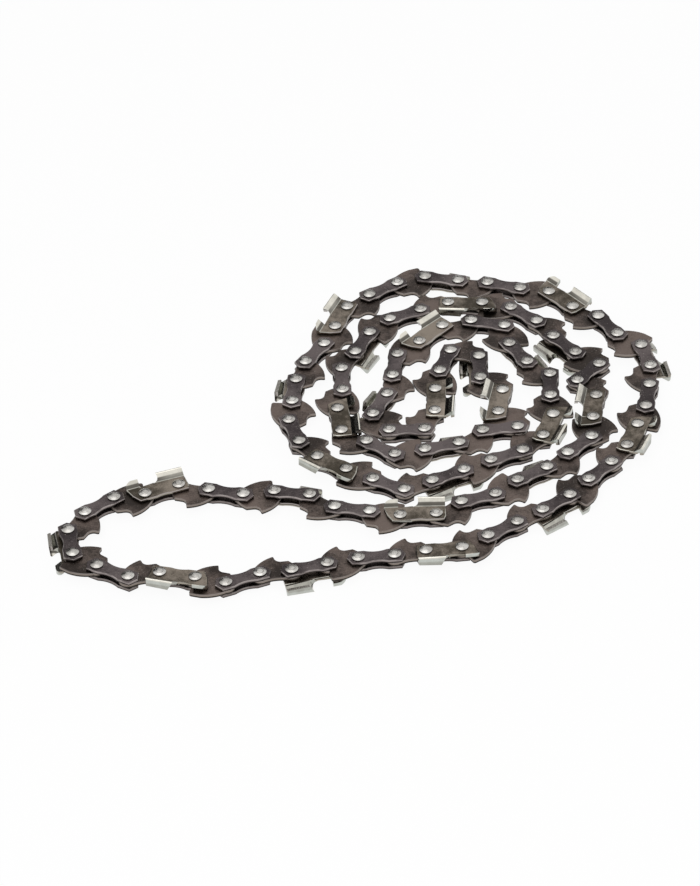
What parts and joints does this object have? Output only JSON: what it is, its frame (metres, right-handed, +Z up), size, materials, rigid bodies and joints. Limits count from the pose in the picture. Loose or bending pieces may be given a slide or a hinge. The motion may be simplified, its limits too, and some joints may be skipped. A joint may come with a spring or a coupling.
{
  "type": "saw chain loop",
  "caption": "Closed loop of low-profile saw chain lying on its side in a loose coil with one open lobe: drive links, side straps and left and right cutters held by peened rivets.",
  "frame": {"origin": "on the floor, under the middle of the lying chain's outline seen from above", "axes": "+Z up, along the rivets; +X from the open lobe towards the coil; +Y to the coil's far side"},
  "size_m": [0.1806, 0.1487, 0.0065],
  "materials": {
    "strap_steel": "blued and oiled, with brighter sheared edges",
    "drive_steel": "dark brown-grey tempered steel, rubbed brighter at the edges",
    "cutter_steel": "chromed top plate and flare over an olive-brown side plate",
    "rivet_steel": "bright peened heads"
  },
  "bodies": {
    "coil": {"coil_lower_straps": "strap_steel", "coil_upper_straps": "strap_steel", "coil_drive_links": "drive_steel", "coil_bumper_links": "drive_steel", "coil_rivets": "rivet_steel", "right_cutter_2": "cutter_steel", "right_cutter_3": "cutter_steel", "right_cutter_4": "cutter_steel", "right_cutter_5": "cutter_steel", "right_cutter_6": "cutter_steel", "right_cutter_7": "cutter_steel", "right_cutter_8": "cutter_steel", "right_cutter_9": "cutter_steel", "right_cutter_10": "cutter_steel", "right_cutter_11": "cutter_steel", "right_cutter_12": "cutter_steel", "right_cutter_13": "cutter_steel", "right_cutter_14": "cutter_steel", "right_cutter_15": "cutter_steel", "left_cutter_2": "cutter_steel", "left_cutter_3": "cutter_steel", "left_cutter_4": "cutter_steel", "left_cutter_5": "cutter_steel", "left_cutter_6": "cutter_steel", "left_cutter_7": "cutter_steel", "left_cutter_8": "cutter_steel", "left_cutter_9": "cutter_steel", "left_cutter_10": "cutter_steel", "left_cutter_11": "cutter_steel", "left_cutter_12": "cutter_steel", "left_cutter_13": "cutter_steel", "left_cutter_14": "cutter_steel"},
    "lower_inner_link": {"lower_inner_drive_link": "drive_steel"},
    "lower_stretch": {"left_cutter_1": "cutter_steel", "lower_strap_4": "strap_steel", "lower_strap_6": "strap_steel", "upper_strap_6": "strap_steel", "lower_bumper_link": "drive_steel", "lower_rivets": "rivet_steel"},
    "lower_outer_link": {"lower_outer_drive_link": "drive_steel"},
    "lobe_end": {"right_cutter_1": "cutter_steel", "upper_strap_0": "strap_steel", "lower_strap_2": "strap_steel", "upper_strap_2": "strap_steel", "lower_strap_116": "strap_steel", "upper_strap_116": "strap_steel", "end_bumper_link": "drive_steel", "end_drive_link": "drive_steel", "end_rivets": "rivet_steel"},
    "upper_inner_link": {"upper_inner_bumper_link": "drive_steel"},
    "upper_stretch": {"lower_strap_112": "strap_steel", "upper_strap_112": "strap_steel", "left_cutter_15": "cutter_steel", "lower_strap_114": "strap_steel", "upper_drive_link": "drive_steel", "upper_rivets": "rivet_steel"},
    "upper_outer_link": {"upper_outer_bumper_link": "drive_steel"}
  },
  "joints": [
    {"name": "lobe_swing", "type": "hinge", "parent": "coil", "child": "lower_inner_link", "pos_m": [-0.02153, -0.06553, 0.00327], "axis": [0, 0, 1], "range_deg": [-15, 15]},
    {"name": "lobe_shear", "type": "hinge", "parent": "lower_inner_link", "child": "lower_stretch", "pos_m": [-0.03034, -0.06651, 0.00327], "axis": [0, 0, 1], "range_deg": [-15, 15]},
    {"name": "lower_outer_pivot", "type": "hinge", "parent": "lower_stretch", "child": "lower_outer_link", "pos_m": [-0.0582, -0.06517, 0.00327], "axis": [0, 0, 1], "range_deg": [-15, 15]},
    {"name": "lobe_end_pivot", "type": "hinge", "parent": "lower_outer_link", "child": "lobe_end", "pos_m": [-0.06698, -0.06645, 0.00327], "axis": [0, 0, 1], "range_deg": [-15, 15]},
    {"name": "upper_inner_pivot", "type": "hinge", "parent": "coil", "child": "upper_inner_link", "pos_m": [-0.02624, -0.03097, 0.00327], "axis": [0, 0, 1], "range_deg": [-15, 15]},
    {"name": "upper_stretch_pivot", "type": "hinge", "parent": "upper_inner_link", "child": "upper_stretch", "pos_m": [-0.03506, -0.03195, 0.00327], "axis": [0, 0, 1], "range_deg": [-15, 15]},
    {"name": "upper_outer_pivot", "type": "hinge", "parent": "upper_stretch", "child": "upper_outer_link", "pos_m": [-0.06291, -0.0306, 0.00327], "axis": [0, 0, 1], "range_deg": [-15, 15]}
  ],
  "couplings": [
    {"joint": "lower_outer_pivot", "follows": "lobe_shear", "ratio": -1},
    {"joint": "lobe_end_pivot", "follows": "lobe_swing", "ratio": -1},
    {"joint": "upper_inner_pivot", "follows": "lobe_swing", "ratio": 1},
    {"joint": "upper_stretch_pivot", "follows": "lobe_shear", "ratio": 1},
    {"joint": "upper_outer_pivot", "follows": "lobe_shear", "ratio": -1}
  ]
}
